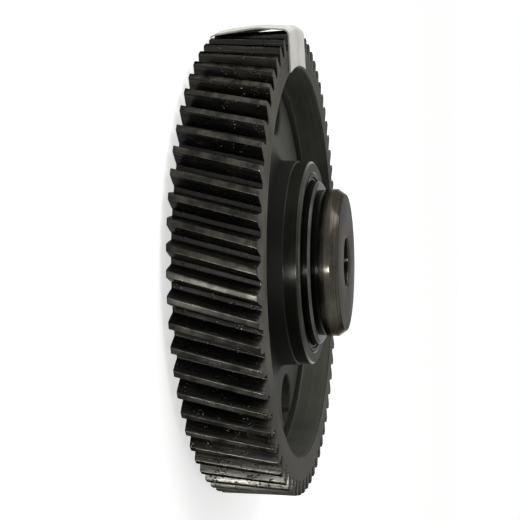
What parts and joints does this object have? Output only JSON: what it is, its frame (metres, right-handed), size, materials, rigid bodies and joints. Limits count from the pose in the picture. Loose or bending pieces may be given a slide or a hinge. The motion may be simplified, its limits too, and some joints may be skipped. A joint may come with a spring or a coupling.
{
  "type": "helical idler gear",
  "caption": "Single-helical spur-type idler gear running on a fixed collared hub through paired tapered roller bearings, with a deep-set web and seven lightening holes.",
  "frame": {"origin": "centre of the hub's bore in the plane of the hub's rear mounting face, on which the part stands", "axes": "+Z along the gear's axis from the rear mounting face to the front collar; -Y is the side that faces the viewer"},
  "size_m": [0.2607, 0.257, 0.0676],
  "materials": {
    "gear_steel": "oily machined steel",
    "bearing_steel": "ground",
    "cage_steel": "pressed, dark with oil",
    "ground_steel": "ground",
    "dark_washer": "blackened",
    "tape": "matt paper tape"
  },
  "bodies": {
    "hub_body": {"hub": "ground_steel", "front_thrust_washer": "dark_washer", "front_cone": "bearing_steel", "rear_cone": "bearing_steel", "cone_spacer": "ground_steel", "adjusting_shim": "ground_steel", "hub_snap_ring": "dark_washer"},
    "gear_body": {"gear": "gear_steel", "front_cup": "bearing_steel", "rear_cup": "bearing_steel", "rim_tape": "tape"},
    "front_roller_set": {"front_cage": "cage_steel", "front_rollers": "bearing_steel"},
    "rear_roller_set": {"rear_cage": "cage_steel", "rear_rollers": "bearing_steel"}
  },
  "joints": [
    {"name": "gear_spin", "type": "hinge", "parent": "hub_body", "child": "gear_body", "pos_m": [0, 0, 0.02775], "axis": [0, 0, 1], "continuous": true},
    {"name": "front_rollers_orbit", "type": "hinge", "parent": "hub_body", "child": "front_roller_set", "pos_m": [0, 0, 0.0415], "axis": [0, 0, 1], "continuous": true},
    {"name": "rear_rollers_orbit", "type": "hinge", "parent": "hub_body", "child": "rear_roller_set", "pos_m": [0, 0, 0.0162], "axis": [0, 0, 1], "continuous": true}
  ],
  "couplings": [
    {"joint": "front_rollers_orbit", "follows": "gear_spin", "ratio": 0.5511},
    {"joint": "rear_rollers_orbit", "follows": "gear_spin", "ratio": 0.5511}
  ]
}
